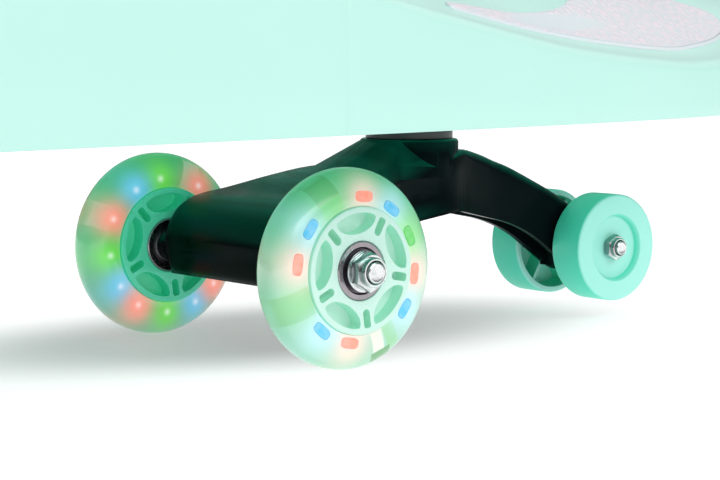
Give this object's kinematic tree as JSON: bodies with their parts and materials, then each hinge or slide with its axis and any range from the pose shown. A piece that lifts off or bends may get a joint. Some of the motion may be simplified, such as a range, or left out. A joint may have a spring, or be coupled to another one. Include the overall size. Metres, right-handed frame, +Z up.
{
  "type": "swing car",
  "caption": "Ride-on swing car: hollow moulded body with a seat, foot pads and a steering column that turns a fork with light-up wheels and small front wheels.",
  "frame": {"origin": "centre of the bounding box's bottom, on the ground under the middle of the body", "axes": "+X forwards, +Y to the rider's left, +Z up"},
  "size_m": [0.78, 0.294, 0.3845],
  "materials": {
    "mint_plastic": "satin moulded plastic",
    "black_plastic": "glossy black moulded plastic",
    "pale_pad": "pale stippled soft plastic",
    "milky_tyre": "milky clear soft plastic",
    "led_board": "ring board with coloured lamps",
    "steel": "bright zinc-plated steel",
    "nylon_bush": "natural nylon",
    "magnet_core": "dark coated magnet"
  },
  "bodies": {
    "body": {"body_shell": "mint_plastic", "foot_pad_left": "pale_pad", "foot_pad_right": "pale_pad", "seat_pad": "pale_pad", "rear_bracket": "black_plastic", "bracket_screw_front_left": "steel", "bracket_screw_front_right": "steel", "bracket_screw_rear_left": "steel", "bracket_screw_rear_right": "steel", "lower_bush": "nylon_bush", "upper_bush": "nylon_bush", "rear_axle": "steel", "rear_washer_left": "steel", "rear_washer_right": "steel", "rear_nut_left": "steel", "rear_nut_right": "steel", "rear_wheel_left_magnet_core": "magnet_core", "rear_wheel_right_magnet_core": "magnet_core"},
    "steering": {"fork": "black_plastic", "fork_nut": "steel", "thrust_collar": "black_plastic", "steering_shaft": "steel", "column_sleeve": "mint_plastic", "top_nut": "steel", "steering_wheel": "mint_plastic", "wheel_cap": "pale_pad", "front_axle": "steel", "front_washer_left": "steel", "front_washer_right": "steel", "front_nut_left": "steel", "front_nut_right": "steel", "front_wheel_left_magnet_core": "magnet_core", "front_wheel_right_magnet_core": "magnet_core", "stabiliser_axle": "steel", "stabiliser_nut_left": "steel", "stabiliser_nut_right": "steel"},
    "front_wheel_left": {"front_wheel_left_tyre": "milky_tyre", "front_wheel_left_hub": "mint_plastic", "front_wheel_left_led_ring": "led_board", "front_wheel_left_bearing_left": "steel", "front_wheel_left_bearing_right": "steel"},
    "front_wheel_right": {"front_wheel_right_tyre": "milky_tyre", "front_wheel_right_hub": "mint_plastic", "front_wheel_right_led_ring": "led_board", "front_wheel_right_bearing_left": "steel", "front_wheel_right_bearing_right": "steel"},
    "rear_wheel_left": {"rear_wheel_left_tyre": "milky_tyre", "rear_wheel_left_hub": "mint_plastic", "rear_wheel_left_led_ring": "led_board", "rear_wheel_left_bearing_left": "steel", "rear_wheel_left_bearing_right": "steel"},
    "rear_wheel_right": {"rear_wheel_right_tyre": "milky_tyre", "rear_wheel_right_hub": "mint_plastic", "rear_wheel_right_led_ring": "led_board", "rear_wheel_right_bearing_left": "steel", "rear_wheel_right_bearing_right": "steel"},
    "stabiliser_wheel_left": {"stabiliser_wheel_left": "mint_plastic"},
    "stabiliser_wheel_right": {"stabiliser_wheel_right": "mint_plastic"}
  },
  "joints": [
    {"name": "steering_turn", "type": "hinge", "parent": "body", "child": "steering", "pos_m": [0.22, 0, 0.0806], "axis": [0, 0, 1], "continuous": true},
    {"name": "front_wheel_left_roll", "type": "hinge", "parent": "steering", "child": "front_wheel_left", "pos_m": [0.136, 0.063, 0.03761], "axis": [0, 1, 0], "continuous": true},
    {"name": "front_wheel_right_roll", "type": "hinge", "parent": "steering", "child": "front_wheel_right", "pos_m": [0.136, -0.063, 0.03761], "axis": [0, 1, 0], "continuous": true},
    {"name": "rear_wheel_left_roll", "type": "hinge", "parent": "body", "child": "rear_wheel_left", "pos_m": [-0.285, 0.115, 0.03761], "axis": [0, 1, 0], "continuous": true},
    {"name": "rear_wheel_right_roll", "type": "hinge", "parent": "body", "child": "rear_wheel_right", "pos_m": [-0.285, -0.115, 0.03761], "axis": [0, 1, 0], "continuous": true},
    {"name": "stabiliser_wheel_left_roll", "type": "hinge", "parent": "steering", "child": "stabiliser_wheel_left", "pos_m": [0.315, 0.0195, 0.0322], "axis": [0, 1, 0], "continuous": true},
    {"name": "stabiliser_wheel_right_roll", "type": "hinge", "parent": "steering", "child": "stabiliser_wheel_right", "pos_m": [0.315, -0.0195, 0.0322], "axis": [0, 1, 0], "continuous": true}
  ]
}
